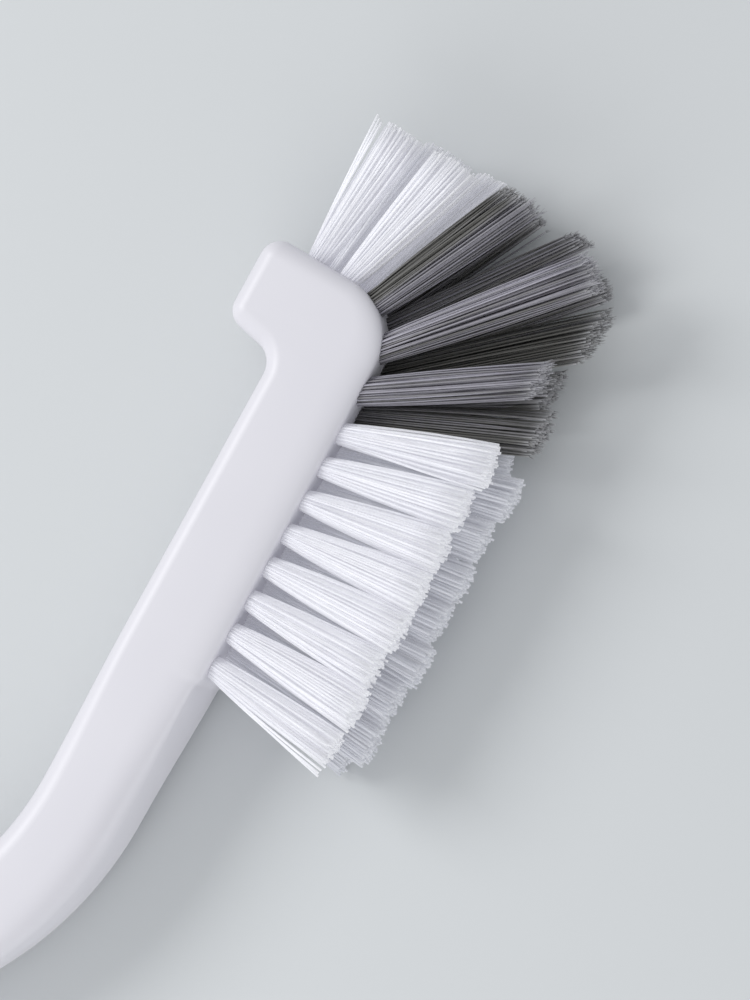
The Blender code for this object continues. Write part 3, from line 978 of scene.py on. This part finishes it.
def white_tuft(node, place, inset, unit, material, rng):
    tuft = Tuft(f"filament_{node}")
    row, zone, number = node.split("_")[1:]
    ease = FRONT_EASE.get(f"{zone}_{number}", 0.0)
    place = place @ Matrix.Rotation(-ease, 4, "Y")
    # The middle and left rows' duller tones are painted shade.
    dullest, brightest, spread = WHITE_LOOKS_WITH_PAINTED_SHADE[f"{row}_{zone}"]
    inset += WHITE_STEPS[row] * rng.random()
    square_share = SQUARE_SHARE if zone == "underside" and row != "middle" else 0.0
    spread *= TIP_RADIUS * (APART_FAN_SHARE if node in APART_SIDES else 1.0)
    sizes = (WHITE_STRANDS, WHITE_WIDTH, HOLE_DIAMETER, spread, WHITE_WANDER)
    for root, tip, direction in fan_out(rng, place, inset, square_share, *sizes):
        tip = tip - direction * (WHITE_RAGGED * rng.random())
        tone = rng.uniform(dullest, brightest)
        tuft.add(unit, root, tip, bulge(rng, place, tip), WHITE_WIDTH, tone)
    if node in APART_SIDES:
        for root, tip, _ in stand_apart(rng, place, inset, spread, APART_SIDES[node]):
            tuft.add(unit, root, tip, bulge(rng, place, tip), WHITE_WIDTH, brightest)
    tuft.finish(node, "bristle_white", material)


def grey_tuft(node, place, inset, unit, hair, material, rng):
    tuft = Tuft(f"filament_{node}")
    turn = place.to_3x3()
    lightness, spread, slope = GREY_LOOK_SHARES[node.removeprefix("tuft_")]
    root_width = HOLE_DIAMETER * GREY_ROOT_SHARE
    sizes = (GREY_STRANDS, GREY_WIDTH, root_width, TIP_RADIUS * spread, GREY_WANDER)
    for root, tip, direction in fan_out(rng, place, inset, 0.0, *sizes):
        tip = tip - direction * (GREY_RAGGED * rng.random())
        forward = turn.col[0].dot(tip - place.translation) / TIP_RADIUS
        tone = rng.gauss(lightness + slope * forward, GREY_TONE_SPREAD)
        tone = min(max(tone, 0.0), 1.0)
        tuft.add(unit, root, tip, bulge(rng, place, tip), GREY_WIDTH, tone)
        for _ in range(SPLIT_HAIRS):
            base = tip - direction * (GREY_WIDTH * rng.random())
            reach = turn @ wander(rng, SPLIT_REACH)
            length = SPLIT_LENGTH * rng.uniform(*SPLIT_LENGTH_SHARES)
            end = base + direction * length + reach
            look = {"start": SPLIT_START_SHARE, "taper": SPLIT_TAPER_SHARE}
            tuft.add(hair, base, end, reach * SPLIT_BOW_SHARE, SPLIT_WIDTH, tone, **look)
    tuft.finish(node, "bristle_grey", material)


def make_tufts():
    white = white_filament()
    grey = grey_filament()
    strand = unit_strand("strand", STRAND_SIDES, STRAND_CUTS)
    hair = unit_strand("hair", HAIR_SIDES, HAIR_CUTS)
    for number, (node, place, inset) in enumerate(tuft_places()):
        rng = random.Random(number)
        if "_nose_" in node:
            grey_tuft(node, place, inset, strand, hair, grey, rng)
        else:
            white_tuft(node, place, inset, strand, white, rng)


# The studio


def camera_axes():
    """The photograph's right, up and back directions, as a matrix's columns."""
    back = Vector(
        (
            -math.sin(CAMERA_YAW),
            -math.sin(CAMERA_TILT) * math.cos(CAMERA_YAW),
            math.cos(CAMERA_TILT) * math.cos(CAMERA_YAW),
        )
    )
    forward = (Vector((1.0, 0.0, 0.0)) - back * back.x).normalized()
    side = back.cross(forward)
    right = forward * math.cos(CAMERA_ROLL) - side * math.sin(CAMERA_ROLL)
    return Matrix((right, back.cross(right), back)).transposed()


def make_camera():
    axes = camera_axes()
    data = bpy.data.cameras.new("camera")
    data.sensor_width = SENSOR
    data.lens = SENSOR * CAMERA_DISTANCE / (METRES_PER_PIXEL * PHOTO_HEIGHT_PIXELS)
    camera = bpy.data.objects.new("camera", data)
    camera.matrix_world = axes.to_4x4()
    camera.location = HEAD_ORIGIN + CAMERA_TARGET + axes.col[2] * CAMERA_DISTANCE
    bpy.context.scene.collection.objects.link(camera)
    bpy.context.scene.camera = camera


def make_floor():
    deselect()
    bpy.ops.mesh.primitive_plane_add(size=FLOOR_SIZE, location=(0.0, 0.0, -FLOOR_DROP))
    floor = newest("floor")
    settle(floor)
    floor.data.materials.append(pale_floor())
    floor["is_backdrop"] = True


def make_lamp(name, place, size, power):
    data = bpy.data.lights.new(name, "AREA")
    data.shape = "DISK"
    data.size = size
    data.energy = power
    lamp = bpy.data.objects.new(name, data)
    lamp.location = place
    lamp.rotation_mode = "QUATERNION"
    lamp.rotation_quaternion = place.to_track_quat("Z", "Y")
    bpy.context.scene.collection.objects.link(lamp)


def make_lights():
    """A soft key from the upper left, a fill by the camera, a low light opposite and the sky."""
    axes = camera_axes()
    for name, (place, size, power) in LAMPS.items():
        make_lamp(name, axes @ Vector(place), size, power)
    world = bpy.data.worlds.new("studio")
    world.use_nodes = True
    background = world.node_tree.nodes["Background"]
    background.inputs["Color"].default_value = SKY_COLOUR
    background.inputs["Strength"].default_value = SKY_STRENGTH
    bpy.context.scene.world = world


make_camera()
make_body()
make_tufts()
make_floor()
make_lights()
bpy.context.scene.view_settings.view_transform = "Standard"

bpy.context.view_layer.update()
boxes = {"cad": cad_box, "visual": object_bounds()}
{name: [list(corner) for corner in box] for name, box in boxes.items()}
